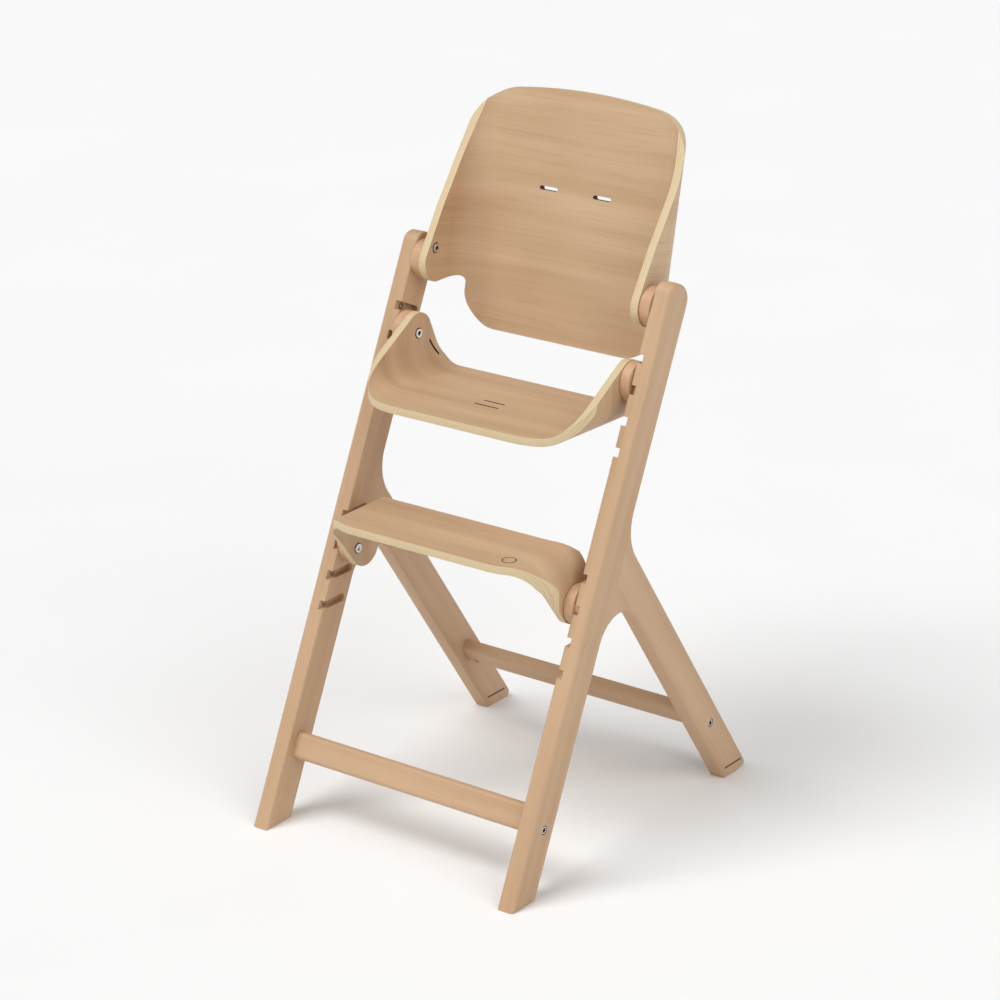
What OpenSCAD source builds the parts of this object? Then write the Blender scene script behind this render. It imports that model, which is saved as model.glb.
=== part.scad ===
// Baby high chair: two lambda-shaped solid wood side frames tied by two crossbars,
// carrying a bent plywood backrest, seat and footrest on round spacer discs. The chair faces -Y and
// stands on Z = 0. Left and right are as seen from the front, so the right-hand side is +X.

/* [Overall] */
// Outside width across both side frames
chair_w = 416; // [396:1:436]
// Thickness of a side frame
frame_t = 24; // [20:0.5:30]
// Distance from the front toe line to the middle of the footprint
mid_y = 267.69; // [250:0.01:290]

/* [Side frame] */
// Lean of the front leg from vertical
front_lean = 24.796; // [20:0.1:30]
// Width of the front leg across its grain
front_leg_w = 46.8; // [40:0.1:54]
// Length of the front leg from the floor line to the post top
front_leg_l = 801; // [700:1:860]
// Post top front corner radius
top_front_r = 17; // [8:1:23]
// Post top rear corner radius
top_rear_r = 22; // [8:1:23]
// Lean of the rear leg from vertical
rear_lean = 35.374; // [30:0.1:40]
// Width of the rear leg across its grain
rear_leg_w = 47.3; // [40:0.1:54]
// Floor distance from the front toe to the rear leg's front line
rear_start = 482.8; // [440:0.1:520]
// Length of the rear leg up to where it is buried in the front leg
rear_leg_l = 490; // [482:1:500]
// Rounding behind the post where the rear leg joins
rear_fillet_r = 60; // [20:1:80]
// Rounding of the crotch between the legs
crotch_r = 47; // [20:1:60]
// Rounding of the rear heel
heel_r = 7; // [1:0.5:12]
// Rounding of the front toe
toe_r = 2; // [0.5:0.5:4]

/* [Grooves] */
// Depth of a groove into the inner face
groove_d = 8; // [4:0.5:12]
// Height of a seat groove
seat_groove_h = 11.5; // [8:0.1:14]
// Height of a footrest groove
foot_groove_h = 11; // [8:0.1:14]
// Lowest seat groove, measured up the front edge
seat_groove_0 = 581; // [560:0.5:600]
// Spacing of the seat grooves up the front edge
seat_pitch = 39.5; // [34:0.5:46]
// Lowest footrest groove, measured up the front edge
foot_groove_0 = 299.5; // [280:0.5:320]
// Spacing of the footrest grooves up the front edge
foot_pitch = 40.25; // [34:0.25:46]
// Length of a seat groove from the front edge
seat_groove_l = 40; // [30:0.5:44]
// Length of a footrest groove from the front edge
foot_groove_l = 43; // [34:0.5:48]
// Distance of the seat inserts behind the front edge
seat_insert_in = 13; // [8:0.5:24]
// Distance of the footrest inserts behind the front edge
foot_insert_in = 11; // [8:0.5:24]
// Distance of the top footrest insert behind the front edge
top_insert_in = 30; // [10:0.5:36]
// Radius of a threaded insert
insert_r = 4; // [3:0.1:5]
// Length of a threaded insert
insert_l = 10; // [6:0.5:14]

/* [Crossbars] */
// Crossbar height, along the leg
bar_h = 35; // [28:0.5:42]
// Crossbar thickness, across the leg
bar_t = 18; // [14:0.5:24]
// Crossbar corner radius
bar_r = 6; // [1:0.5:8]
// Front crossbar height up the front leg
front_bar_at = 117.3; // [90:0.1:150]
// Rear crossbar height up the rear leg
rear_bar_at = 109; // [90:0.5:150]

/* [Shells] */
// Plywood thickness
ply_t = 10.5; // [8:0.1:14]
// Half the gap between the seat ears, also the footrest's
ear_half = 159.5; // [150:0.5:165]
// Half the gap between the backrest wings
wing_half = 158.5; // [150:0.5:165]
// Bend radius inside the seat and footrest corners
seat_bend_r = 31; // [15:0.5:50]
// Bend radius inside the backrest corners
back_bend_r = 35; // [15:0.5:60]
// Plan corner radius of the footrest
foot_plan_r = 65; // [30:1:80]

/* [Seat] */
// Height of the pan's upper face at its front edge
seat_z = 555; // [520:0.5:580]
// Slope of the pan down to the back
seat_tilt = 1.6; // [0:0.1:6]
// Front edge of the pan behind the front toe line
seat_front = 156; // [140:0.5:175]
// Rear edge of the pan behind the front toe line
seat_rear = 347; // [330:0.5:360]
// Plan corner radius of the seat
seat_plan_r = 79; // [30:1:90]
// Radius of the ear's rounded end
seat_ear_r = 27; // [22:0.5:32]

/* [Backrest] */
// Recline of the backrest from vertical
back_lean = 11.75; // [4:0.25:20]
// Front face of the panel at the strap slots, behind the toe line
back_y = 421.5; // [400:0.5:440]
// Height of the strap slots
back_slot_z = 785; // [760:0.5:800]
// Top of the backrest
back_top = 911; // [880:0.5:930]
// Bottom of the backrest panel
back_bottom = 595.5; // [570:0.5:620]
// Radius of the arched top edge
back_arch_r = 810; // [500:10:2000]
// Top corner radius seen from the front
back_corner_r = 75; // [40:1:90]
// Bottom corner radius of the panel
back_low_r = 47; // [20:1:60]
// Half width of the panel below the wings
back_low_half = 147; // [120:1:155]
// Underside of the wings
wing_bottom = 661; // [640:0.5:680]
// Radius of the wing's rounded end
wing_end_r = 27; // [22:0.5:32]
// Rake of the wing's front edge from vertical
wing_rake = 35.8; // [30:0.1:42]
// Rounding where the wing's front edge runs up into the panel
wing_brow_r = 400; // [100:10:600]

/* [Footrest] */
// Height of the footrest's upper face
foot_z = 409.5; // [380:0.5:430]
// Slope of the footrest up to the back
foot_tilt = 0.8; // [0:0.1:4]
// Front edge of the footrest behind the front toe line
foot_front = 90.5; // [70:0.5:110]
// Rear edge of the footrest behind the front toe line
foot_rear = 197; // [180:0.5:220]
// Rear edge of the footrest's ears
foot_ear_rear = 211.4; // [200:0.5:225]
// Radius of the ear's rounded end
foot_ear_r = 27.5; // [22:0.5:32]

/* [Discs and screws] */
// Radius of a spacer disc
disc_r = 26; // [20:0.5:32]
// Gap left between parts that move on each other
run_gap = 0.3; // [0.3:0.05:0.6]
// Screw shank radius
screw_r = 3; // [2:0.25:4]
// Radial clearance of a hole that turns on a screw
turn_fit = 0.05; // [0.01:0.01:0.1]
// Screw head radius
head_r = 6.2; // [4:0.1:8]
// Screw head height
head_h = 4; // [2:0.25:6]
// Radius of the recess round a screw head
recess_r = 7.2; // [5:0.1:9]
// Depth of the recess round a screw head
recess_d = 2.5; // [1:0.1:4]
// Hexagon socket radius
socket_r = 3.1; // [2:0.1:4]

/* [Hidden] */
$fn = 96;
EPS = 0.01;
x_out = chair_w / 2;
x_in = x_out - frame_t;
ear_out = ear_half + ply_t;
wing_out = wing_half + ply_t;
slide_in = x_in - run_gap;

// unit directions of the legs in the side view: up the leg, and across it to the back
fa = [sin(front_lean), cos(front_lean)];
fb = [cos(front_lean), -sin(front_lean)];
ra = [-sin(rear_lean), cos(rear_lean)];
rb = [cos(rear_lean), sin(rear_lean)];
rear_toe = [rear_start, 0];

function on_front(along, across) = fa * along + fb * across;
function on_rear(along, across) = rear_toe + ra * along + rb * across;
function cross2(a, b) = a[0] * b[1] - a[1] * b[0];
// meeting point of the line through p along u with the line through q along v
function meet(p, u, q, v) = p + u * (cross2(q - p, v) / cross2(u, v));
function unit(v) = v / norm(v);
// where the tangent from p meets the circle c, r, a hair inside it; side +1 or -1 picks the tangent
function tangent(p, c, r, side) =
    let (q = r - EPS, d = norm(c - p), a = asin(q / d), l = sqrt(d * d - q * q),
         t = atan2(c[1] - p[1], c[0] - p[0]) + side * a)
    p + l * [cos(t), sin(t)];

post_corner = meet(on_front(0, front_leg_w), fa, on_rear(0, rear_leg_w), ra);
crotch_corner = meet(on_front(0, front_leg_w), fa, on_rear(0, 0), ra);
heel_corner = [on_rear(0, rear_leg_w)[0] + rear_leg_w * sin(rear_lean) * tan(rear_lean), 0];

// pivots and discs in the side view
back_pin = on_front(782.5, 9.5);
seat_pin = on_front(671, 20.5);
foot_pin = on_front(383.3, 8.3);
back_disc_c = [342.5, 687.5];
seat_disc_c = [300.5, 601.2];
foot_disc_c = [183.9, 343.4];
wing_end_c = [341, 687.5];
// grooves that carry the seat and the footrest, 1 is the lowest
seat_groove_n = 3;
foot_groove_n = 3;

front_bar_c = on_front(front_bar_at, front_leg_w / 2);
rear_bar_c = on_rear(rear_bar_at, rear_leg_w / 2);
bolt_drop = 8.5;
dowel_rise = 8;
dowel_r = 4;
dowel_in_frame = 12;
dowel_in_bar = 28;
bar_screw_in = 34;
bar_head_r = 5;
barrel_r = 4;
barrel_l = 14;
barrel_in = 14;
foot_slit_h = 2.5;
foot_slit_z = 14;
foot_slit_y = [482, 522];
slot_h = 5;
strap_h = 3;

// ---- helpers ----

// side-view shape (Y, Z) made solid between x = a and x = b
module slab(a, b) {
    translate([a, -mid_y, 0]) rotate([90, 0, 90]) linear_extrude(b - a) children();
}

// cylinder along X at side-view point p from x = a to x = b
module pin_x(p, r, a, b) {
    translate([min(a, b), p[0] - mid_y, p[1]]) rotate([0, 90, 0]) cylinder(r = r, h = abs(b - a));
}

// the wedge between a corner v and an arc of radius r touching both its sides,
// run 1 mm past the corner and EPS over the arc so that it cuts or joins cleanly
module corner_patch(v, d1, d2, r) {
    half = acos(d1 * d2) / 2;
    c = v + unit(d1 + d2) * (r / sin(half));
    t = r / tan(half);
    difference() {
        polygon([v - unit(d1 + d2), v + d1 * t, c, v + d2 * t]);
        translate(c) circle(r + EPS);
    }
}

// everything beyond the circle c, r between the directions u and v from its centre
module beyond_arc(c, u, v, r) {
    difference() {
        polygon([c, c + u * 2 * r, c + (u + v) * 2 * r, c + v * 2 * r]);
        translate(c) circle(r + EPS);
    }
}

// ---- side frame ----

module front_leg_2d() {
    rotate(-front_lean) difference() {
        translate([0, -front_leg_w]) square([front_leg_w, front_leg_l + front_leg_w]);
        corner_patch([0, front_leg_l], [1, 0], [0, -1], top_front_r);
        corner_patch([front_leg_w, front_leg_l], [-1, 0], [0, -1], top_rear_r);
    }
}

module rear_leg_2d() {
    translate(rear_toe) rotate(rear_lean)
        translate([0, -rear_leg_w]) square([rear_leg_w, rear_leg_l + rear_leg_w]);
}

module frame_blank(a, b) {
    difference() {
        union() {
            slab(a, b) front_leg_2d();
            slab(a, b) rear_leg_2d();
            slab(a, b) corner_patch(post_corner, fa, -ra, rear_fillet_r);
            slab(a, b) corner_patch(crotch_corner, -fa, -ra, crotch_r);
        }
        slab(a - 1, b + 1) translate([-rear_start, -rear_start]) square([3 * rear_start, rear_start]);
        slab(a - 1, b + 1) corner_patch([0, 0], fa, [1, 0], toe_r);
        slab(a - 1, b + 1) corner_patch(heel_corner, ra, [-1, 0], heel_r);
    }
}

// seat groove n (1 is the lowest), running square to the leg; h and gap size it for tongue or cut
module seat_track(n, h, from, to) {
    rotate(-front_lean) translate([0, seat_groove_0 + (n - 1) * seat_pitch]) {
        translate([from, -h / 2]) square([to - h / 2 - from, h]);
        translate([to - h / 2, 0]) circle(h / 2);
    }
}

// footrest groove n (1 is the lowest), running level from the front edge
module foot_track(n, h, from, to) {
    translate(fa * (foot_groove_0 + (n - 1) * foot_pitch)) {
        translate([from, -h / 2]) square([to - h / 2 - from, h]);
        translate([to - h / 2, 0]) circle(h / 2);
    }
}

function seat_insert_at(n) = on_front(seat_groove_0 + (n - 1) * seat_pitch, seat_insert_in);
function foot_insert_at(n) = fa * (foot_groove_0 + (n - 1) * foot_pitch)
    + [n == 4 ? top_insert_in : foot_insert_in, 0];

// s is -1 for the left frame and +1 for the right one
module side_frame(s) {
    floor_x = x_in + groove_d;
    color("#c8a887") difference() {
        frame_blank(s > 0 ? x_in : -x_out, s > 0 ? x_out : -x_in);
        slab(s > 0 ? x_in - 1 : -floor_x, s > 0 ? floor_x : -x_in + 1) {
            for (n = [1:4]) {
                seat_track(n, seat_groove_h, -12, seat_groove_l);
                foot_track(n, foot_groove_h, -12, foot_groove_l);
            }
        }
        for (n = [1:4]) {
            pin_x(seat_insert_at(n), insert_r, s * (floor_x - EPS), s * (floor_x + insert_l));
            pin_x(foot_insert_at(n), insert_r, s * (floor_x - EPS), s * (floor_x + insert_l));
        }
        pin_x(back_pin, screw_r, s * (x_in - 1), s * (x_in + 14));
        for (p = [front_screw_p(), rear_screw_p()]) {
            pin_x(p, screw_r, s * (x_in - 1), s * (x_out + 1));
            pin_x(p, bar_head_r, s * (x_out - head_h), s * (x_out + 1));
        }
        for (p = [front_dowel_p(), rear_dowel_p()])
            pin_x(p, dowel_r, s * (x_in - 1), s * (x_in + dowel_in_frame));
        slab(s > 0 ? x_in - 1 : -x_out - 1, s > 0 ? x_out + 1 : -x_in + 1) heel_strip_2d();
    }
}

module heel_strip_2d() {
    translate([foot_slit_y[0], foot_slit_z]) square([foot_slit_y[1] - foot_slit_y[0], foot_slit_h]);
}

module heel_strip(s) {
    color("#4a3a2e") slab(s > 0 ? x_in : -x_out, s > 0 ? x_out : -x_in) heel_strip_2d();
}

function front_screw_p() = front_bar_c - fa * bolt_drop;
function rear_screw_p() = rear_bar_c - ra * bolt_drop;
function front_dowel_p() = front_bar_c + fa * dowel_rise;
function rear_dowel_p() = rear_bar_c + ra * dowel_rise;

// ---- crossbars ----

module bar_2d(c, turn) {
    translate(c) rotate(turn) difference() {
        translate([-bar_t / 2, -bar_h / 2]) square([bar_t, bar_h]);
        for (i = [-1, 1], j = [-1, 1])
            corner_patch([i * bar_t / 2, j * bar_h / 2], [-i, 0], [0, -j], bar_r);
    }
}

// barrel nut at side-view point p, axis along direction d of the side view
module barrel(p, turn, s, r, from, to) {
    translate([s * (x_in - barrel_in), p[0] - mid_y, p[1]]) rotate([turn, 0, 0])
        rotate([-90, 0, 0]) translate([0, 0, from]) cylinder(r = r, h = to - from);
}

// face is +1 when the barrel nut goes in from the rear of the bar, -1 from its front
module crossbar(c, turn, screw_p, dowel_p, face) {
    color("#c8a887") difference() {
        slab(-x_in, x_in) bar_2d(c, -turn);
        for (s = [-1, 1]) {
            pin_x(screw_p, screw_r, s * (x_in - bar_screw_in), s * (x_in + 1));
            pin_x(dowel_p, dowel_r, s * (x_in - dowel_in_bar), s * (x_in + 1));
            if (face > 0) barrel(screw_p, -turn, s, barrel_r, -barrel_l / 2, bar_t);
            else barrel(screw_p, -turn, s, barrel_r, -bar_t, barrel_l / 2);
        }
    }
}

module barrel_nut(p, turn, s) {
    color("#b9b9b6") difference() {
        barrel(p, -turn, s, barrel_r, -barrel_l / 2, barrel_l / 2);
        pin_x(p, screw_r, s * (x_in - bar_screw_in), s * x_in);
    }
}

module bar_screw(p, s) {
    color("#c9c9c7") difference() {
        union() {
            pin_x(p, screw_r, s * (x_in - bar_screw_in), s * (x_out - head_h));
            pin_x(p, bar_head_r, s * (x_out - head_h), s * x_out);
        }
        socket(p, s * (x_out - head_h / 2), s * (x_out + 1));
    }
}

module dowel(p, s) {
    color("#d8c3a0") pin_x(p, dowel_r, s * (x_in - dowel_in_bar), s * (x_in + dowel_in_frame));
}

module insert(p, s) {
    floor_x = x_in + groove_d;
    color("#b8b8b4") difference() {
        pin_x(p, insert_r, s * floor_x, s * (floor_x + insert_l));
        pin_x(p, insert_r - 1.5, s * (floor_x - 1), s * (floor_x + insert_l - 2));
    }
}

// hexagon socket along X
module socket(p, a, b) {
    translate([min(a, b), p[0] - mid_y, p[1]]) rotate([0, 90, 0])
        cylinder(r = socket_r, h = abs(b - a), $fn = 6);
}

// ---- bent plywood shells ----

// solid U block: half width h, bottom corners r, wall height d
module u_block(h, r, d) {
    translate([-h, r]) square([2 * h, d - r]);
    translate([r - h, 0]) square([2 * (h - r), r]);
    for (i = [-1, 1]) translate([i * (h - r), r]) circle(r);
}

// U profile of the bent sheet, pan's inner face on the X axis, walls toward +Y
module channel(h, r, d) {
    difference() {
        translate([0, -ply_t]) u_block(h + ply_t, r + ply_t, d + ply_t);
        u_block(h, r, d + 1);
    }
}

// plan-view shape made solid between two heights
module plan(z0, z1) {
    translate([0, -mid_y, z0]) linear_extrude(z1 - z0) children();
}

// plan half-outline: front edge y0, sides at half width h, big front corners
module front_corners(y0, y1, h, r) {
    difference() {
        translate([-h, y0]) square([2 * h, y1 - y0]);
        for (i = [-1, 1]) corner_patch([i * h, y0], [-i, 0], [0, 1], r);
    }
}

module seat_plan_2d() {
    front_corners(seat_front, seat_rear + 20, ear_out, seat_plan_r);
}

// block that trims the seat to its side outline: pan below, ears up to their round ends
module seat_side() {
    ear_front = [seat_front + 12, seat_z];
    ear_rear = [seat_rear + 1, seat_z + 5];
    low = seat_z - 3 * ply_t;
    slab(-x_in, x_in) polygon([
        [seat_front - 5, low], [seat_front - 5, seat_z], ear_front,
        tangent(ear_front, seat_pin, seat_ear_r, 1), tangent(ear_rear, seat_pin, seat_ear_r, -1),
        ear_rear, [seat_rear, low]
    ]);
    pin_x(seat_pin, seat_ear_r, -x_in, x_in);
}

module seat_shell() {
    color("#c8a887") difference() {
        intersection() {
            translate([0, seat_front - mid_y, seat_z]) rotate([-seat_tilt, 0, 0])
                translate([0, 240, 0]) rotate([90, 0, 0])
                    linear_extrude(260) channel(ear_half, seat_bend_r, 110);
            plan(seat_z - 60, seat_z + 120) seat_plan_2d();
            seat_side();
        }
        for (s = [-1, 1]) {
            pin_x(seat_pin, screw_r, s * (ear_half - 1), s * (ear_out + 1));
            pin_x(seat_pin, recess_r, s * (ear_half - 1), s * (ear_half + recess_d));
            slab(s > 0 ? ear_half - 20 : -ear_out - 1, s > 0 ? ear_out + 1 : -ear_half + 20)
                strap_slot_2d([324, 585], [336, 564.5]);
        }
        for (q = [[17, 231], [15, 248]])
            plan(seat_z - 40, seat_z + 5) capsule_2d([-q[0], q[1]], [q[0], q[1]], strap_h);
    }
}

module capsule_2d(a, b, w) {
    d = unit(b - a);
    n = [-d[1], d[0]] * w / 2;
    polygon([a + n, b + n, b - n, a - n]);
    translate(a) circle(w / 2 + EPS);
    translate(b) circle(w / 2 + EPS);
}

module strap_slot_2d(a, b) {
    capsule_2d(a, b, strap_h);
}

module foot_plan_2d() {
    flare_x = 118;
    flare_r = 60;
    difference() {
        front_corners(foot_front, foot_ear_rear + 4, ear_out, foot_plan_r);
        translate([-flare_x, foot_rear]) square([2 * flare_x, 40]);
        for (i = [-1, 1]) translate([i * flare_x, foot_rear + flare_r]) circle(flare_r);
    }
}

// block that trims the footrest to its side outline: pan above, ears down to their round ends
module foot_side() {
    knee = [128, 370.6];
    root = [95, foot_z - ply_t];
    t_front = tangent(knee, foot_disc_c, foot_ear_r, -1);
    top = foot_z + 2 * ply_t;
    slab(-x_in, x_in) polygon([
        [foot_front - 5, top], [foot_front - 5, foot_z - ply_t], root, knee, t_front,
        [foot_ear_rear - EPS, foot_disc_c[1]], [foot_ear_rear - EPS, top]
    ]);
    slab(-x_in, x_in) corner_patch(knee, unit(root - knee), unit(t_front - knee), 110);
    pin_x(foot_disc_c, foot_ear_r, -x_in, x_in);
}

module footrest_shell() {
    color("#c8a887") difference() {
        intersection() {
            translate([0, foot_front - mid_y, foot_z - ply_t]) rotate([foot_tilt, 0, 0])
                translate([0, -20, 0]) rotate([-90, 0, 0])
                    linear_extrude(180) channel(ear_half, seat_bend_r, 110);
            plan(foot_z - 120, foot_z + 20) foot_plan_2d();
            foot_side();
        }
        for (s = [-1, 1]) {
            pin_x(foot_pin, screw_r, s * (ear_half - 1), s * (ear_out + 1));
            pin_x(foot_pin, recess_r, s * (ear_half - 1), s * (ear_half + recess_d));
        }
        plan(foot_z - 0.6, foot_z + 20) translate([119, 115.7]) difference() {
            circle(9.5);
            circle(8);
        }
    }
}

// front-view shape (X, Z) made solid through the whole depth
module through_y() {
    translate([0, 600, 0]) rotate([90, 0, 0]) linear_extrude(900) children();
}

// front-view shape cut square through the leaning panel, heights taken along the panel
module across_panel() {
    translate([0, back_y - mid_y, back_slot_z]) rotate([-back_lean, 0, 0])
        translate([0, 300, -back_slot_z]) rotate([90, 0, 0]) linear_extrude(600) children();
}

// block that trims the backrest to its arched top and rounded top corners
module back_crown() {
    top = back_slot_z + (back_top - back_slot_z) / cos(back_lean);
    arch_c = [0, top - back_arch_r];
    corner_x = wing_out - back_corner_r;
    lean = asin(corner_x / (back_arch_r - back_corner_r));
    corner_z = arch_c[1] + corner_x / tan(lean);
    difference() {
        intersection() {
            across_panel() translate([-wing_out - 1, 400]) square([2 * wing_out + 2, 600]);
            across_panel() translate(arch_c) circle(back_arch_r, $fn = 360);
        }
        for (i = [-1, 1])
            across_panel() beyond_arc([i * corner_x, corner_z], [i, 0], [i * sin(lean), cos(lean)],
                back_corner_r);
    }
}

// block that trims the backrest below: wings above, narrower panel with round corners beneath
module back_foot() {
    difference() {
        union() {
            through_y() translate([-wing_out - 1, wing_bottom]) square([2 * wing_out + 2, 400]);
            through_y() translate([-back_low_half, back_bottom])
                square([2 * back_low_half, wing_bottom - back_bottom + 20]);
            for (i = [-1, 1])
                through_y() corner_patch([i * back_low_half, wing_bottom], [0, -1], [i, 0], 10);
        }
        for (i = [-1, 1])
            through_y() corner_patch([i * back_low_half, back_bottom], [-i, 0], [0, 1], back_low_r);
    }
}

// block that trims the wings to their side outline
module back_side() {
    knee = [352, 756.4];
    rake = [sin(wing_rake), cos(wing_rake)];
    up = [sin(back_lean), cos(back_lean)];
    brow = meet(knee, rake, [back_y - 1, back_slot_z], up);
    slab(-x_in, x_in) polygon([
        [600, 500], brow + up * 150 + [150, 0], brow + up * 150, brow, knee,
        tangent(knee, wing_end_c, wing_end_r, -1), wing_end_c,
        [wing_end_c[0], wing_bottom - 1], [360, wing_bottom - 1], [360, 500]
    ]);
    slab(-x_in, x_in) corner_patch(brow, -rake, up, wing_brow_r);
    pin_x(wing_end_c, wing_end_r, -x_in, x_in);
}

module backrest_shell() {
    color("#c8a887") difference() {
        intersection() {
            translate([0, back_y - mid_y, back_slot_z]) rotate([-back_lean, 0, 0])
                translate([0, 0, -215]) rotate([0, 0, 180])
                    linear_extrude(400) channel(wing_half, back_bend_r, 150);
            back_crown();
            back_foot();
            back_side();
        }
        for (s = [-1, 1]) {
            pin_x(back_pin, screw_r + turn_fit, s * (wing_half - 1), s * (wing_out + 1));
            pin_x(back_pin, recess_r, s * (wing_half - 1), s * (wing_half + recess_d));
            translate([0, back_y - mid_y, back_slot_z]) rotate([90 - back_lean, 0, 0])
                translate([0, 0, -30]) linear_extrude(60)
                    capsule_2d([s * 30, 0], [s * 52.5, 0], slot_h);
        }
    }
}

// ---- spacer discs and their screws ----

module back_disc(s) {
    color("#c29c74") difference() {
        pin_x(back_disc_c, disc_r, s * (wing_out + run_gap), s * x_in);
        pin_x(back_pin, screw_r, s * wing_out, s * (x_in + 1));
    }
}

module seat_disc(s) {
    tongue_out = x_in + groove_d - run_gap - 0.2;
    color("#c29c74") difference() {
        union() {
            pin_x(seat_disc_c, disc_r, s * ear_out, s * slide_in);
            slab(s > 0 ? slide_in - 6 : -tongue_out, s > 0 ? tongue_out : -slide_in + 6)
                seat_track(seat_groove_n, seat_groove_h - 2 * run_gap, 8, seat_groove_l - run_gap);
        }
        pin_x(seat_pin, screw_r, s * (ear_out - 1), s * (slide_in - 1));
    }
}

module footrest_disc(s) {
    tongue_out = x_in + groove_d - run_gap - 0.2;
    color("#c29c74") difference() {
        union() {
            pin_x(foot_disc_c, disc_r, s * ear_out, s * slide_in);
            slab(s > 0 ? slide_in - 6 : -tongue_out, s > 0 ? tongue_out : -slide_in + 6)
                foot_track(foot_groove_n, foot_groove_h - 2 * run_gap, 4, foot_groove_l - run_gap);
        }
        pin_x(foot_pin, screw_r, s * (ear_out - 1), s * (tongue_out - 1));
    }
}

// screw with its head in the recess at x = face, shank out to x = tip
module shell_screw(p, s, face, tip) {
    color("#c9c9c7") difference() {
        union() {
            pin_x(p, head_r, s * (face - head_h), s * face);
            pin_x(p, screw_r, s * face, s * tip);
        }
        socket(p, s * (face - head_h - 1), s * (face - head_h / 2));
    }
}

module back_screw(s) shell_screw(back_pin, s, wing_half + recess_d - run_gap, x_in + 14);
module seat_screw(s) shell_screw(seat_pin, s, ear_half + recess_d, slide_in - 1);
module footrest_screw(s)
    shell_screw(foot_pin, s, ear_half + recess_d, x_in + groove_d - run_gap - 1.2);

// ---- sub-parts ----

module side_frame_left() side_frame(-1);
module side_frame_right() side_frame(1);
module front_crossbar() crossbar(front_bar_c, front_lean, front_screw_p(), front_dowel_p(), 1);
module rear_crossbar() crossbar(rear_bar_c, -rear_lean, rear_screw_p(), rear_dowel_p(), -1);

side_frame_left();
side_frame_right();
front_crossbar();
rear_crossbar();
backrest_shell();
seat_shell();
footrest_shell();
back_disc(-1);  // back_disc_left
back_disc(1);  // back_disc_right
seat_disc(-1);  // seat_disc_left
seat_disc(1);  // seat_disc_right
footrest_disc(-1);  // footrest_disc_left
footrest_disc(1);  // footrest_disc_right
back_screw(-1);  // back_screw_left
back_screw(1);  // back_screw_right
seat_screw(-1);  // seat_screw_left
seat_screw(1);  // seat_screw_right
footrest_screw(-1);  // footrest_screw_left
footrest_screw(1);  // footrest_screw_right
bar_screw(front_screw_p(), -1);  // front_bar_screw_left
bar_screw(front_screw_p(), 1);  // front_bar_screw_right
bar_screw(rear_screw_p(), -1);  // rear_bar_screw_left
bar_screw(rear_screw_p(), 1);  // rear_bar_screw_right
barrel_nut(front_screw_p(), front_lean, -1);  // front_barrel_nut_left
barrel_nut(front_screw_p(), front_lean, 1);  // front_barrel_nut_right
barrel_nut(rear_screw_p(), -rear_lean, -1);  // rear_barrel_nut_left
barrel_nut(rear_screw_p(), -rear_lean, 1);  // rear_barrel_nut_right
dowel(front_dowel_p(), -1);  // front_dowel_left
dowel(front_dowel_p(), 1);  // front_dowel_right
dowel(rear_dowel_p(), -1);  // rear_dowel_left
dowel(rear_dowel_p(), 1);  // rear_dowel_right
heel_strip(-1);  // heel_strip_left
heel_strip(1);  // heel_strip_right
insert(seat_insert_at(1), -1);  // seat_insert_1_left
insert(seat_insert_at(2), -1);  // seat_insert_2_left
insert(seat_insert_at(3), -1);  // seat_insert_3_left
insert(seat_insert_at(4), -1);  // seat_insert_4_left
insert(seat_insert_at(1), 1);  // seat_insert_1_right
insert(seat_insert_at(2), 1);  // seat_insert_2_right
insert(seat_insert_at(3), 1);  // seat_insert_3_right
insert(seat_insert_at(4), 1);  // seat_insert_4_right
insert(foot_insert_at(1), -1);  // foot_insert_1_left
insert(foot_insert_at(2), -1);  // foot_insert_2_left
insert(foot_insert_at(3), -1);  // foot_insert_3_left
insert(foot_insert_at(4), -1);  // foot_insert_4_left
insert(foot_insert_at(1), 1);  // foot_insert_1_right
insert(foot_insert_at(2), 1);  // foot_insert_2_right
insert(foot_insert_at(3), 1);  // foot_insert_3_right
insert(foot_insert_at(4), 1);  // foot_insert_4_right
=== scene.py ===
"""Looks of a baby high chair: rounded solid wood side frames and bars, moulded plywood
backrest, seat and footrest with layered edges, wooden spacer discs, plated screws and inserts."""

import math

import bmesh
import bpy
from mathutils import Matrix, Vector


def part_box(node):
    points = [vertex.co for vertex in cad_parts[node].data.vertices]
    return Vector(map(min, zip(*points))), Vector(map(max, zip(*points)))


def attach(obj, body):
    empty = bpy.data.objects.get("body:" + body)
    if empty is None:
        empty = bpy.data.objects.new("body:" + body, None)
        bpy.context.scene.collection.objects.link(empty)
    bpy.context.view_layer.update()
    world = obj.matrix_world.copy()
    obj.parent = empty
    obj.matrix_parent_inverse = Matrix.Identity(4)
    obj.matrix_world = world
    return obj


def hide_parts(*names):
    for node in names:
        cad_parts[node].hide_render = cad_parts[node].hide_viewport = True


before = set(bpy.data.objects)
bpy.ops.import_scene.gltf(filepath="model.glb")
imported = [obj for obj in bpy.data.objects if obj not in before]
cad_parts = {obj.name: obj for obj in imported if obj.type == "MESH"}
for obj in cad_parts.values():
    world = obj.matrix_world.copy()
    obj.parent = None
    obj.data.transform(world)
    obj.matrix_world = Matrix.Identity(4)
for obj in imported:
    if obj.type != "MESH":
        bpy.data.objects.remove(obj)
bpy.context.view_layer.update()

MM = 0.001
SKIN = 0.05 * MM  # tolerance when a face or point is told from its neighbours

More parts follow.
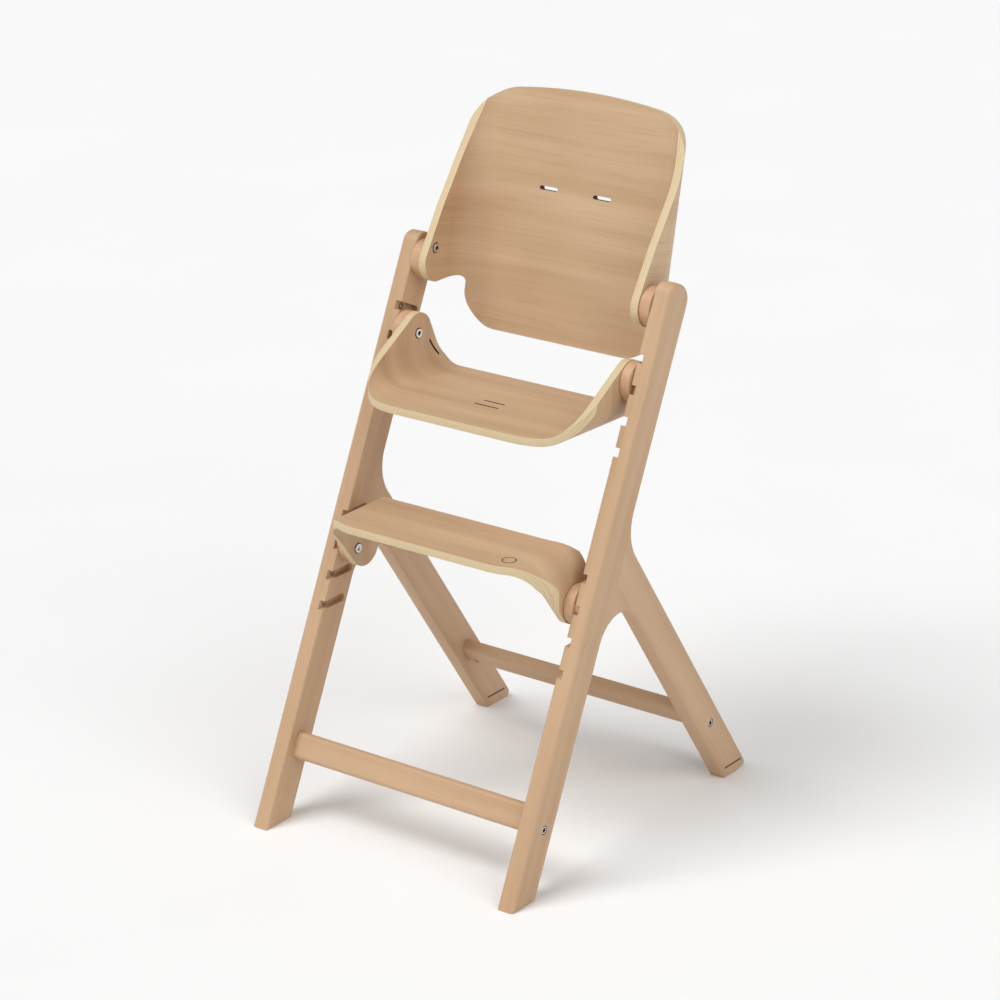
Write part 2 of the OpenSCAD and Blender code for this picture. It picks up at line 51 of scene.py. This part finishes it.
# side frames
FRONT_LEAN = math.radians(24.796)  # front leg from vertical
REAR_LEAN = math.radians(35.374)  # rear leg from vertical
LEG_WIDTH = 46.8 * MM  # front leg across its grain
INNER_X = 184 * MM  # a side frame's inner face, from the chair's middle
OUTER_X = 208 * MM  # its outer face
OUTER_ROUND = 6 * MM  # round-over along a side frame's outer edges
INNER_ROUND = 2.6 * MM  # and along its inner edges
SOLE_ROUND = 1.6 * MM  # and round its soles
ROUND_STEPS = 6
TOE_REACH = 8 * MM  # how far the toe's small radius reaches from its corner

# what is cut into them
PAST = 2 * MM  # how far a cutter stands out of the wood
GROOVE_DEPTH = 8 * MM
GROOVE_MOUTH = 14 * MM  # how far a groove's cutter starts before the front edge
SEAT_GROOVE = (11.5 * MM, 13 * MM, 40 * MM)  # height, insert behind the front edge, length
FOOT_GROOVE = (11 * MM, 11 * MM, 43 * MM)
TOP_FOOT_INSERT = 30 * MM  # the top footrest insert lies further back
HEAD_HOLE = 11.8 * MM  # counterbore round a crossbar screw's head
HEAD_SEAT = 203.6 * MM  # its floor, from the chair's middle
STUB = 0.01 * MM  # half the length of a slot that stands for a round hole
SLIT_END = 1.3 * MM  # radius of the heel slit's ends
SLIT_DEPTH = 1.2 * MM  # how deep it shows in each face
ARC_STEPS = 16  # straight pieces in the round end of a slot

# screws and discs
SOCKET = (2.9 * MM, 0.15 * MM, 2.4 * MM)  # radius round a hex socket, and its depths
DISC_ROUND = 1.4 * MM
SHELL_HEAD_ROUND = 0.7 * MM
BAR_HEAD_ROUND = 0.6 * MM

# bent plywood
PLY = 10.5 * MM
PLY_ROUND = 1.5 * MM  # round-over of the plywood edges
LAYERS = 7  # veneers in the plywood
FACE_SHARE = 0.03  # share of the thickness, from either face, that still is that face
BACK_LEAN = math.radians(11.75)
SEAT_TILT = math.radians(1.6)
FOOT_TILT = math.radians(0.8)
BACK_AT = (421.5 * MM, 785 * MM)  # panel at its strap slots: behind the toe line, and height
SEAT_AT = (156 * MM, 555 * MM)  # the same for the pan's upper face at its front edge
FOOT_AT = (90.5 * MM, 399 * MM)  # and for the step's lower face at its front edge
WING_GAP = 158.5 * MM  # half the gap between the backrest's wings
EAR_GAP = 159.5 * MM  # and between the ears of the seat and of the footrest
BACK_BEND = 35 * MM  # bend radius inside the backrest's corners
EAR_BEND = 31 * MM
FIGURE_SHIFT = {"backrest": 0.0, "seat": 1.3, "footrest": 2.9}  # gives each sheet its own figure
REAR_FIGURE = 3.7  # and the rear leg

# meshes
SHARP = math.radians(32)  # edges that get a round-over
SMOOTH = math.radians(34)  # edges flatter than this are shaded smooth
FLAT = math.radians(0.15)  # coplanar faces joined first
SEAM = 0.002 * MM  # vertices closer than this are one
GRAIN_DEPTH = 0.1 * MM  # depth of the bumps at full strength

# stage
FLOOR_REACH = 120  # half the floor's side, in metres
CAMERA_AT = (2.3363, -3.2052, 1.9075)
CAMERA_DOWN = math.radians(69.389)  # from straight down
CAMERA_TURN = math.radians(36.158)  # round to the chair's right-hand side
LENS = 119.65
SENSOR = 36

LEG_UP = Vector((0, math.sin(FRONT_LEAN), math.cos(FRONT_LEAN)))
LEG_BACK = Vector((0, math.cos(FRONT_LEAN), -math.sin(FRONT_LEAN)))
SIDES = {"left": -1, "right": 1}


# ---- materials ----

class Shader:
    """A new material and short calls that add nodes to it. An input is a number, a colour or a
    vector, or the output of another node."""

    def __init__(self, name):
        self.material = bpy.data.materials.new(name)
        self.material.use_nodes = True
        self.nodes = self.material.node_tree.nodes
        self.links = self.material.node_tree.links
        self.surface = self.nodes["Principled BSDF"]

    def add(self, kind, inputs=(), **settings):
        node = self.nodes.new(kind)
        for key, value in settings.items():
            setattr(node, key, value)
        for socket, value in dict(inputs).items():
            if isinstance(value, bpy.types.NodeSocket):
                self.links.new(value, node.inputs[socket])
            else:
                node.inputs[socket].default_value = value
        return node

    def math(self, operation, a, b=0.0):
        """One step of arithmetic."""
        return self.add("ShaderNodeMath", {0: a, 1: b}, operation=operation).outputs[0]

    def noise(self, vector, scale, detail=3.0, roughness=0.5):
        """Noise whose cells are scale times finer along each axis."""
        placed = self.add("ShaderNodeMapping", {"Vector": vector, "Scale": scale}).outputs[0]
        made = self.add(
            "ShaderNodeTexNoise",
            {"Vector": placed, "Scale": 1.0, "Detail": detail, "Roughness": roughness},
        )
        return made.outputs["Fac"]

    def ramp(self, factor, stops):
        """A colour ramp; each stop is its place and its colour."""
        node = self.add("ShaderNodeValToRGB", {"Fac": factor})
        marks = node.color_ramp.elements
        while len(marks) < len(stops):
            marks.new(0.5)
        for mark, (place, colour) in zip(marks, stops):
            mark.position = place
            mark.color = (*colour, 1)
        return node.outputs["Color"]

    def mix(self, factor, a, b):
        """Colour a where factor is 0 and colour b where it is 1."""
        node = self.add("ShaderNodeMix", {"Factor": factor}, data_type="RGBA")
        for socket, value in ((node.inputs[6], a), (node.inputs[7], b)):
            if isinstance(value, bpy.types.NodeSocket):
                self.links.new(value, socket)
            else:
                socket.default_value = (*value, 1)
        return node.outputs[2]

    def finish(self, colour, roughness, height=None, bump=0.0):
        """Connects colour, roughness and, if given, a bump height, and returns the material."""
        self.links.new(colour, self.surface.inputs["Base Color"])
        if isinstance(roughness, bpy.types.NodeSocket):
            self.links.new(roughness, self.surface.inputs["Roughness"])
        else:
            self.surface.inputs["Roughness"].default_value = roughness
        if height is not None:
            node = self.add(
                "ShaderNodeBump", {"Height": height, "Strength": bump, "Distance": GRAIN_DEPTH})
            self.links.new(node.outputs[0], self.surface.inputs["Normal"])
        return self.material


def linear(code):
    """A colour written as six hex digits, as linear RGB."""
    parts = [int(code[i:i + 2], 16) / 255 for i in (0, 2, 4)]
    return tuple(p / 12.92 if p <= 0.04045 else ((p + 0.055) / 1.055) ** 2.4 for p in parts)


def grain_colour(s, grain, light, dark, line, line_share):
    """Wood figure for coordinates whose X runs along the grain: soft bands and clouds, fine lines
    as strong as line_share, and short flecks. Also gives the lines, for a bump."""
    bands = s.noise(grain, (1.6, 34, 34), 2.5)
    clouds = s.noise(grain, (5, 11, 11), 1.5)
    lines = s.noise(grain, (7, 480, 480), 3.0, 0.6)
    flecks = s.noise(grain, (150, 1500, 1500), 1.0)
    tone = s.math("ADD", s.math("MULTIPLY", bands, 0.65), s.math("MULTIPLY", clouds, 0.35))
    base = s.ramp(tone, [(0.36, dark), (0.64, light)])
    thin = s.add(
        "ShaderNodeMapRange",
        {"Value": lines, "From Min": 0.52, "From Max": 0.74, "To Min": 0.0, "To Max": line_share},
    ).outputs[0]
    base = s.mix(thin, base, line)
    dots = s.add(
        "ShaderNodeMapRange",
        {"Value": flecks, "From Min": 0.62, "From Max": 0.75, "To Min": 0.0, "To Max": 0.14},
    ).outputs[0]
    return s.mix(dots, base, line), lines


def solid_wood(name, lean, light, dark, line):
    """Solid wood with its grain up a leg that leans back by lean; lean None is a bar along X."""
    s = Shader(name)
    place = s.add("ShaderNodeTexCoord").outputs["Object"]
    if lean is None:
        grain = place
    else:
        turn = (0, math.pi / 2 - lean, math.pi / 2)
        grain = s.add(
            "ShaderNodeMapping", {"Vector": place, "Rotation": turn}, vector_type="TEXTURE"
        ).outputs[0]
    colour, lines = grain_colour(s, grain, light, dark, line, 0.22)
    return s.finish(colour, 0.5, lines, 0.12)


def frame_wood(light, dark, line):
    """The side frame's wood: the grain follows each leg, and turns at the joint between them."""
    s = Shader("side_frame_wood")
    place = s.add("ShaderNodeTexCoord").outputs["Object"]
    toe = leg_toe()
    legs = []
    for lean, start in ((FRONT_LEAN, 0.0), (-REAR_LEAN, REAR_FIGURE)):
        along = s.add(
            "ShaderNodeVectorMath",
            {0: place, 1: (0, math.sin(lean), math.cos(lean))}, operation="DOT_PRODUCT",
        ).outputs["Value"]
        across = s.add(
            "ShaderNodeVectorMath",
            {0: place, 1: (0, math.cos(lean), -math.sin(lean))}, operation="DOT_PRODUCT",
        ).outputs["Value"]
        side = s.add("ShaderNodeSeparateXYZ", {0: place}).outputs["X"]
        shifted = s.math("ADD", along, start)
        legs.append(s.add("ShaderNodeCombineXYZ", {0: shifted, 1: across, 2: side}).outputs[0])
    behind = s.add(
        "ShaderNodeVectorMath", {0: place, 1: tuple(LEG_BACK)}, operation="DOT_PRODUCT"
    ).outputs["Value"]
    joint = s.math("GREATER_THAN", behind, toe.dot(LEG_BACK) + LEG_WIDTH)
    grain = s.add(
        "ShaderNodeMix", {"Factor": joint, 4: legs[0], 5: legs[1]}, data_type="VECTOR"
    ).outputs[1]
    colour, lines = grain_colour(s, grain, light, dark, line, 0.22)
    return s.finish(colour, 0.5, lines, 0.12)


def veneer(light, dark, line):
    """Face veneer: grain across the chair, bending round with the sheet."""
    s = Shader("beech_veneer")
    sheet = s.add("ShaderNodeAttribute", attribute_name="sheet").outputs["Vector"]
    colour, lines = grain_colour(s, sheet, light, dark, line, 0.32)
    return s.finish(colour, 0.48, lines, 0.15)


def ply_edge(pale, deep, glue):
    """Plywood edge: pale and deeper layers with end-grain specks and thin glue lines."""
    s = Shader("plywood_edge")
    sheet = s.add("ShaderNodeAttribute", attribute_name="sheet").outputs["Vector"]
    depth = s.add("ShaderNodeSeparateXYZ", {0: sheet}).outputs["Z"]
    steps = s.math("MULTIPLY", depth, LAYERS / PLY)
    even = s.math("GREATER_THAN", s.math("FRACT", s.math("MULTIPLY", steps, 0.5)), 0.5)
    within = s.math("FRACT", steps)
    seam = s.math("LESS_THAN", s.math("MINIMUM", within, s.math("SUBTRACT", 1.0, within)), 0.07)
    place = s.add("ShaderNodeTexCoord").outputs["Object"]
    specks = s.noise(place, (900, 900, 900), 2.0, 0.6)
    long_specks = s.noise(sheet, (90, 90, 1400), 2.0, 0.6)
    speckled = s.mix(s.math("MULTIPLY", specks, 0.9), pale, deep)
    striped = s.mix(s.math("MULTIPLY", long_specks, 0.35), pale, deep)
    colour = s.mix(even, striped, speckled)
    colour = s.mix(s.math("MULTIPLY", seam, 0.35), colour, glue)
    return s.finish(colour, 0.6, specks, 0.2)


def metal(name, tint, roughness):
    """Plated steel with slight unevenness."""
    s = Shader(name)
    place = s.add("ShaderNodeTexCoord").outputs["Object"]
    cloud = s.noise(place, (320, 320, 320), 2.0)
    colour = s.ramp(cloud, [(0.3, tuple(c * 0.9 for c in tint)), (0.7, tint)])
    rough = s.add(
        "ShaderNodeMapRange",
        {"Value": cloud, "To Min": roughness * 0.8, "To Max": roughness * 1.3},
    ).outputs[0]
    s.surface.inputs["Metallic"].default_value = 1.0
    return s.finish(colour, rough)


def dark_matt(name, light, dark):
    """A matt dark surface with a little cloud in it."""
    s = Shader(name)
    place = s.add("ShaderNodeTexCoord").outputs["Object"]
    cloud = s.noise(place, (400, 400, 400), 3.0)
    return s.finish(s.ramp(cloud, [(0.3, dark), (0.7, light)]), 0.7, cloud, 0.2)


# ---- mesh helpers ----

def cad_mesh(node):
    """The CAD node's mesh with its seams closed and its flat faces joined."""
    bm = bmesh.new()
    bm.from_mesh(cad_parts[node].data)
    bmesh.ops.remove_doubles(bm, verts=bm.verts, dist=SEAM)
    bmesh.ops.dissolve_limit(bm, angle_limit=FLAT, verts=bm.verts, edges=bm.edges)
    return bm


def round_over(bm, width, keep=lambda edge: True):
    """Rounds every sharp outward edge that keep() accepts."""
    sharp = [
        e for e in bm.edges
        if e.is_manifold and e.is_convex and e.calc_face_angle() > SHARP and keep(e)
    ]
    bmesh.ops.bevel(
        bm, geom=sharp, offset=width, offset_type="OFFSET", segments=3,
        profile=0.5, affect="EDGES", clamp_overlap=True,
    )


def piece(name, bm, body, materials, nodes, shading=None):
    """A finished object from bm that rides on body and stands for the CAD nodes.
    shading, if given, is a function from a face and a corner to the normal there, or None."""
    mesh = bpy.data.meshes.new(name)
    bm.to_mesh(mesh)
    bm.free()
    made = bpy.data.objects.new(name, mesh)
    bpy.context.scene.collection.objects.link(made)
    for material in materials:
        mesh.materials.append(material)
    for polygon in mesh.polygons:
        polygon.use_smooth = True
    mesh.set_sharp_from_angle(angle=SMOOTH)
    if shading:
        flat = Vector((0, 0, 0))
        mesh.normals_split_custom_set([
            shading(polygon, mesh.vertices[v].co) or flat
            for polygon in mesh.polygons for v in polygon.vertices
        ])
    else:
        weighted = made.modifiers.new("even_shading", "WEIGHTED_NORMAL")
        weighted.keep_sharp = True
        weighted.weight = 100
    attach(made, body)
    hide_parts(*nodes)
    return made


def middle(node):
    """The middle of a CAD node's box."""
    low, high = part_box(node)
    return (low + high) / 2


# ---- side frames ----

def outline(bm, x):
    """Corner points, in order, of the outermost boundary of the faces that lie at x."""
    flat = {f for f in bm.faces if all(abs(v.co.x - x) < SKIN for v in f.verts)}
    rim = {}
    for face in flat:
        for loop in face.loops:
            if not any(f in flat for f in loop.edge.link_faces if f is not face):
                rim[loop.vert] = loop.link_loop_next.vert
    rings = []
    while rim:
        start, vert = next(iter(rim.items()))
        ring = [start]
        del rim[start]
        while vert is not start:
            ring.append(vert)
            vert = rim.pop(vert)
        rings.append([v.co.copy() for v in ring])
    return max(rings, key=lambda ring: max(p.z for p in ring) - min(p.z for p in ring))


def leg_toe():
    """Where the front line of the front leg meets the floor, from the lowest groove insert."""
    insert = middle("seat_insert_1_right")
    front = insert - LEG_BACK * SEAT_GROOVE[1]
    toe = front - LEG_UP * (front.z / LEG_UP.z)
    toe.x = 0
    return toe


def sharpened(ring):
    """The outline with the small toe radius made a corner below its foremost point."""
    toe = leg_toe()
    near = [math.hypot(p.y - toe.y, p.z) < TOE_REACH for p in ring]
    start = next(i for i in range(len(ring)) if near[i - 1] and not near[i])
    turned = ring[start:] + ring[:start]
    rest = turned[:len(ring) - sum(near)]
    return rest + [Vector((rest[0].x, min(p.y for p in ring), 0))]


def bevel_weights(bm, outer_x):
    """Weighs the rim edges of a frame blank: 1 gives the outer round-over."""
    layer = bm.edges.layers.float.new("bevel_weight_edge")
    for edge in bm.edges:
        ends = [v.co for v in edge.verts]
        if abs(ends[0].x - ends[1].x) > MM:
            continue
        if all(p.z < SKIN for p in ends):
            width = SOLE_ROUND
        elif abs(ends[0].x - outer_x) < MM:
            width = OUTER_ROUND
        else:
            width = INNER_ROUND
        edge[layer] = width / OUTER_ROUND


def capsule(bm, start, end, height, x_from, x_to):
    """A slot cutter of this height with round ends at start and end, between two X planes."""
    along = (end - start).normalized()
    up = Vector((0, -along.z, along.y))
    points = []
    for centre, side in ((start, -1), (end, 1)):
        for i in range(ARC_STEPS + 1):
            a = math.pi * (i / ARC_STEPS - 0.5)
            points.append(centre + (along * math.cos(a) + up * math.sin(a)) * side * height / 2)
    rings = [
        [bm.verts.new((x, p.y, p.z)) for p in points] for x in (x_from, x_to)
    ]
    bm.faces.new(rings[0])
    bm.faces.new(reversed(rings[1]))
    for i in range(len(points)):
        j = (i + 1) % len(points)
        bm.faces.new((rings[0][j], rings[0][i], rings[1][i], rings[1][j]))


def groove_cutters(side):
    """Cutters for the eight grooves, the screw heads and the heel slit of one side frame."""
    s = SIDES[side]
    bm = bmesh.new()
    level = Vector((0, 1, 0))
    for kind, along, (height, behind, length) in (
        ("seat", LEG_BACK, SEAT_GROOVE), ("foot", level, FOOT_GROOVE)
    ):
        for n in range(1, 5):
            inset = TOP_FOOT_INSERT if (kind, n) == ("foot", 4) else behind
            front = middle(f"{kind}_insert_{n}_{side}") - along * inset
            capsule(bm, front - along * GROOVE_MOUTH, front + along * (length - height / 2),
                    height, s * (INNER_X - PAST), s * (INNER_X + GROOVE_DEPTH))
    for bar in ("front", "rear"):
        centre = middle(f"{bar}_bar_screw_{side}")
        capsule(bm, centre - level * STUB, centre + level * STUB,
                HEAD_HOLE, s * HEAD_SEAT, s * (OUTER_X + PAST))
    low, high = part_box(f"heel_strip_{side}")
    centre = (low + high) / 2
    reach = level * ((high.y - low.y) / 2 - SLIT_END)
    for x in (INNER_X, OUTER_X):
        capsule(bm, centre - reach, centre + reach, high.z - low.z,
                s * (x - SLIT_DEPTH), s * (x + SLIT_DEPTH))
    bmesh.ops.recalc_face_normals(bm, faces=bm.faces)
    return bm


def counterbored(bm, side):
    """Gives the second material, painted shade, to the faces of the counterbores round the crossbar
    screws.
    """
    for bar in ("front", "rear"):
        centre = middle(f"{bar}_bar_screw_{side}")
        for face in bm.faces:
            c = face.calc_center_median()
            near = math.hypot(c.y - centre.y, c.z - centre.z) < HEAD_HOLE / 2 + 2 * SKIN
            if near and HEAD_SEAT - SKIN < abs(c.x) < OUTER_X - SKIN:
                face.material_index = 1


def side_frame(side, materials):
    """A side frame: its outline as a blank with rounded edges, then everything cut into it."""
    node = f"side_frame_{side}"
    low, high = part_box(node)
    outer, inner = (high.x, low.x) if SIDES[side] > 0 else (low.x, high.x)
    cad = cad_mesh(node)
    ring = sharpened(outline(cad, outer))
    cad.free()
    bm = bmesh.new()
    faces = []
    for x in (outer, inner):
        verts = [bm.verts.new((x, p.y, p.z)) for p in ring]
        faces.append(verts)
        bm.faces.new(verts)
    for i in range(len(ring)):
        j = (i + 1) % len(ring)
        bm.faces.new((faces[0][i], faces[0][j], faces[1][j], faces[1][i]))
    bmesh.ops.recalc_face_normals(bm, faces=bm.faces)
    bevel_weights(bm, outer)
    blank = bpy.data.meshes.new(node + "_blank")
    bm.to_mesh(blank)
    bm.free()
    body = bpy.data.objects.new(node + "_blank", blank)
    cutter_mesh = bpy.data.meshes.new("cutters")
    cuts = groove_cutters(side)
    cuts.to_mesh(cutter_mesh)
    cuts.free()
    cutter = bpy.data.objects.new("cutters", cutter_mesh)
    for o in (body, cutter):
        bpy.context.scene.collection.objects.link(o)
    bevel = body.modifiers.new("round", "BEVEL")
    bevel.limit_method = "WEIGHT"
    bevel.width = OUTER_ROUND
    bevel.segments = ROUND_STEPS
    bevel.use_clamp_overlap = False
    cut = body.modifiers.new("cut", "BOOLEAN")
    cut.operation, cut.solver, cut.object = "DIFFERENCE", "EXACT", cutter
    graph = bpy.context.evaluated_depsgraph_get()
    result = bmesh.new()
    result.from_mesh(body.evaluated_get(graph).to_mesh())
    for o in (body, cutter):
        bpy.data.objects.remove(o)
    counterbored(result, side)
    return piece(f"side_frame_{side}_rounded", result, "frame", materials, [node])


# ---- bent plywood ----

class Sheet:
    """Unrolls a bent sheet. It is a U profile that runs along run from its inner face at origin,
    with walls along rise, half apart from the middle, and the inner radius bend in its corners."""

    def __init__(self, origin, run, rise, half, bend):
        self.origin, self.run, self.rise = Vector(origin), Vector(run), Vector(rise)
        self.half, self.bend = half, bend

    def unroll(self, p):
        """Length round the sheet, length along it, and depth below its inner face."""
        q = p - self.origin
        up = q.dot(self.rise)
        flat = self.half - self.bend
        dx, dz = abs(p.x) - flat, self.bend - up
        depth = math.hypot(max(dx, 0), max(dz, 0)) + min(max(dx, dz), 0) - self.bend
        angle = math.atan2(max(dx, 0), max(dz, 0)) if dx > 0 and dz > 0 else (
            math.pi / 2 if dz <= 0 and dx > 0 else 0)
        around = min(abs(p.x), flat) + self.bend * angle + max(up - self.bend, 0) * (dx > 0)
        return Vector((math.copysign(around, p.x), q.dot(self.run), depth))

    def outward(self, p):
        """Direction square to the sheet at p, away from the inside of the U."""
        up = (p - self.origin).dot(self.rise)
        dx, dz = abs(p.x) - (self.half - self.bend), self.bend - up
        if dx > 0 and dz > 0:
            side, down = dx, dz
        else:
            side, down = (1, 0) if dx > 0 else (0, 1)
        return (Vector((math.copysign(side, p.x), 0, 0)) - self.rise * down).normalized()


def cut_faces(bm, sheet):
    """The faces that aren't the sheet's own two faces, in two sets: the outline's, and those of
    slots and holes."""
    cut = set()
    for face in bm.faces:
        depths = [sheet.unroll(v.co).z for v in face.verts]
        if max(depths) > FACE_SHARE * PLY and min(depths) < (1 - FACE_SHARE) * PLY:
            cut.add(face)
    groups = []
    rest = set(cut)
    while rest:
        group, front = set(), [rest.pop()]
        while front:
            face = front.pop()
            group.add(face)
            near = {f for e in face.edges for f in e.link_faces if f in rest}
            rest -= near
            front.extend(near)
        groups.append(group)
    outline_cut = max(groups, key=lambda g: sum(f.calc_area() for f in g))
    return outline_cut, cut - outline_cut


def shell(body, sheet, materials):
    """A plywood shell: the CAD shape with rounded edges, unrolled for its grain and layers. The
    materials are those of its faces, its outline's edge and its slots and holes, whose walls take
    painted shade."""
    node = f"{body}_shell"
    shift = FIGURE_SHIFT[body]
    bm = cad_mesh(node)
    rim, _ = cut_faces(bm, sheet)
    round_over(bm, PLY_ROUND, keep=lambda edge: any(f in rim for f in edge.link_faces))
    rim, pockets = cut_faces(bm, sheet)
    layer = bm.verts.layers.float_vector.new("sheet")
    for vert in bm.verts:
        unrolled = sheet.unroll(vert.co)
        unrolled.x += shift
        unrolled.y += shift
        vert[layer] = unrolled
    for face in bm.faces:
        face.material_index = 1 if face in rim else 2 if face in pockets else 0

    def shading(face, corner):
        """Normals square to the sheet on its faces, so that its bends shade evenly."""
        if face.material_index:
            return None
        out = sheet.outward(corner)
        return out if out.dot(face.normal) > 0 else -out

    return piece(node.replace("shell", "plywood"), bm, body, materials, [node], shading)


# ---- small parts ----

def disc(node, body, material):
    """A spacer disc with rounded edges."""
    bm = cad_mesh(node)
    round_over(bm, DISC_ROUND)
    return piece(node + "_rounded", bm, body, [material], [node])


def screw(node, body, head_out, materials, width):
    """A screw with rounded edges; the faces of its hex socket take the second material, a painted
    shade where it is dark. head_out says that its head is at the end away from the chair's middle."""
    bm = cad_mesh(node)
    round_over(bm, width)
    low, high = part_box(node)
    axis = middle(node)
    head = max(abs(low.x), abs(high.x)) if head_out else min(abs(low.x), abs(high.x))
    reach, shallow, deep = SOCKET
    for face in bm.faces:
        c = face.calc_center_median()
        inside = math.hypot(c.y - axis.y, c.z - axis.z) < reach
        if inside and shallow < abs(abs(c.x) - head) < deep:
            face.material_index = 1
    return piece(node + "_rounded", bm, body, materials, [node])


# ---- assembly ----

LIGHT, DARK, LINE = linear("caa986"), linear("bc9875"), linear("9a7350")
VENEER_LIGHT, VENEER_DARK, VENEER_LINE = linear("cfb08d"), linear("bd9b77"), linear("967250")

wood_frame = frame_wood(LIGHT, DARK, LINE)
wood_bar = solid_wood("bar_wood", None, LIGHT, DARK, LINE)
wood_disc = solid_wood("disc_wood", FRONT_LEAN, linear("d0aa86"), linear("c39a76"), LINE)
wood_dowel = solid_wood("dowel_wood", None, linear("dcc09c"), linear("cfae87"), LINE)
ply_face = veneer(VENEER_LIGHT, VENEER_DARK, VENEER_LINE)
ply_rim = ply_edge(linear("dfcca5"), linear("c3a77e"), linear("a1845e"))
plated = metal("plated_screw", linear("d9d9d6"), 0.22)
zinc = metal("zinc_fitting", linear("f0f0ec"), 0.45)
strip_dark = dark_matt("strip_dark", linear("5a4636"), linear("3d2f25"))
# painted shade: this dark colour on the walls of the plywood's slots and holes stands for the shade
# inside them
slot_painted_shade = dark_matt("slot_wall_painted_shade", linear("7a5638"), linear("5c3f29"))
# painted shade: this dark colour on the hex sockets and the counterbores stands for the shade inside
# them
recess_painted_shade = dark_matt("recess_painted_shade", linear("3c3632"), linear("26221f"))
ply = [ply_face, ply_rim, slot_painted_shade]

for side in SIDES:
    side_frame(side, [wood_frame, recess_painted_shade])
    for name, body in (("back", "frame"), ("seat", "seat"), ("footrest", "footrest")):
        disc(f"{name}_disc_{side}", body, wood_disc)
        # the footrest's sockets are plated; the others take the painted shade
        socket = plated if name == "footrest" else recess_painted_shade
        screw(f"{name}_screw_{side}", body, False, [plated, socket], SHELL_HEAD_ROUND)
    for bar in ("front", "rear"):
        screw(f"{bar}_bar_screw_{side}", "frame", True, [plated, recess_painted_shade], BAR_HEAD_ROUND)


def place_in_side_view(place):
    """A point on the chair's middle plane, given its distance behind the toe line and its height."""
    behind, height = place
    return (0, leg_toe().y + behind, height)


shell("backrest", Sheet(
    place_in_side_view(BACK_AT), (0, math.sin(BACK_LEAN), math.cos(BACK_LEAN)),
    (0, -math.cos(BACK_LEAN), math.sin(BACK_LEAN)), WING_GAP, BACK_BEND), ply)
shell("seat", Sheet(
    place_in_side_view(SEAT_AT), (0, math.cos(SEAT_TILT), -math.sin(SEAT_TILT)),
    (0, math.sin(SEAT_TILT), math.cos(SEAT_TILT)), EAR_GAP, EAR_BEND), ply)
shell("footrest", Sheet(
    place_in_side_view(FOOT_AT), (0, math.cos(FOOT_TILT), math.sin(FOOT_TILT)),
    (0, math.sin(FOOT_TILT), -math.cos(FOOT_TILT)), EAR_GAP, EAR_BEND), ply)

# CAD nodes that stay, by a part of their name
NODE_FINISH = {
    "crossbar": wood_bar, "dowel": wood_dowel, "barrel_nut": zinc, "insert": zinc,
    "heel_strip": strip_dark,
}
for name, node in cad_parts.items():
    for key, material in NODE_FINISH.items():
        if key in name:
            node.data.materials.clear()
            node.data.materials.append(material)

# ---- stage, light, camera ----

def stage_floor():
    """A plain near-white floor that reaches to the horizon."""
    bm = bmesh.new()
    bmesh.ops.create_grid(bm, x_segments=2, y_segments=2, size=FLOOR_REACH)
    mesh = bpy.data.meshes.new("studio_floor")
    bm.to_mesh(mesh)
    bm.free()
    floor = bpy.data.objects.new("studio_floor", mesh)
    bpy.context.scene.collection.objects.link(floor)
    s = Shader("floor_white")
    place = s.add("ShaderNodeTexCoord").outputs["Object"]
    cloud = s.noise(place, (3, 3, 3), 2.0)
    white = s.ramp(cloud, [(0.2, (0.95, 0.95, 0.95)), (0.8, (0.97, 0.97, 0.97))])
    mesh.materials.append(s.finish(white, 0.9))


def soft_sun(name, toward, strength, spread):
    """A lamp so far away that it lights the whole floor alike; spread softens its shadows."""
    data = bpy.data.lights.new(name, "SUN")
    data.energy = strength
    data.angle = math.radians(spread)
    lamp = bpy.data.objects.new(name, data)
    lamp.rotation_euler = Vector(toward).to_track_quat("Z", "Y").to_euler()
    bpy.context.scene.collection.objects.link(lamp)


def studio_world():
    """Soft white light from above, and a horizon as pale as the floor."""
    world = bpy.data.worlds.new("studio")
    world.use_nodes = True
    tree = world.node_tree
    place = tree.nodes.new("ShaderNodeTexCoord")
    split = tree.nodes.new("ShaderNodeSeparateXYZ")
    fade = tree.nodes.new("ShaderNodeMapRange")
    for socket, value in (("From Min", 0.04), ("From Max", 0.17), ("To Min", 0.95), ("To Max", 0.32)):
        fade.inputs[socket].default_value = value
    tree.nodes["Background"].inputs["Color"].default_value = (1, 1, 1, 1)
    tree.links.new(place.outputs["Generated"], split.inputs[0])
    tree.links.new(split.outputs["Z"], fade.inputs["Value"])
    tree.links.new(fade.outputs[0], tree.nodes["Background"].inputs["Strength"])
    bpy.context.scene.world = world


stage_floor()
studio_world()
soft_sun("key", (-0.5, -0.9, 1.6), 1.8, 35)
soft_sun("fill", (1.0, -0.3, 0.9), 0.95, 50)
bpy.context.scene.view_settings.view_transform = "Standard"

camera = bpy.data.objects.new("camera", bpy.data.cameras.new("camera"))
camera.data.lens = LENS
camera.data.sensor_width = SENSOR
camera.location = CAMERA_AT
camera.rotation_euler = (CAMERA_DOWN, 0, CAMERA_TURN)
bpy.context.scene.collection.objects.link(camera)
bpy.context.scene.camera = camera
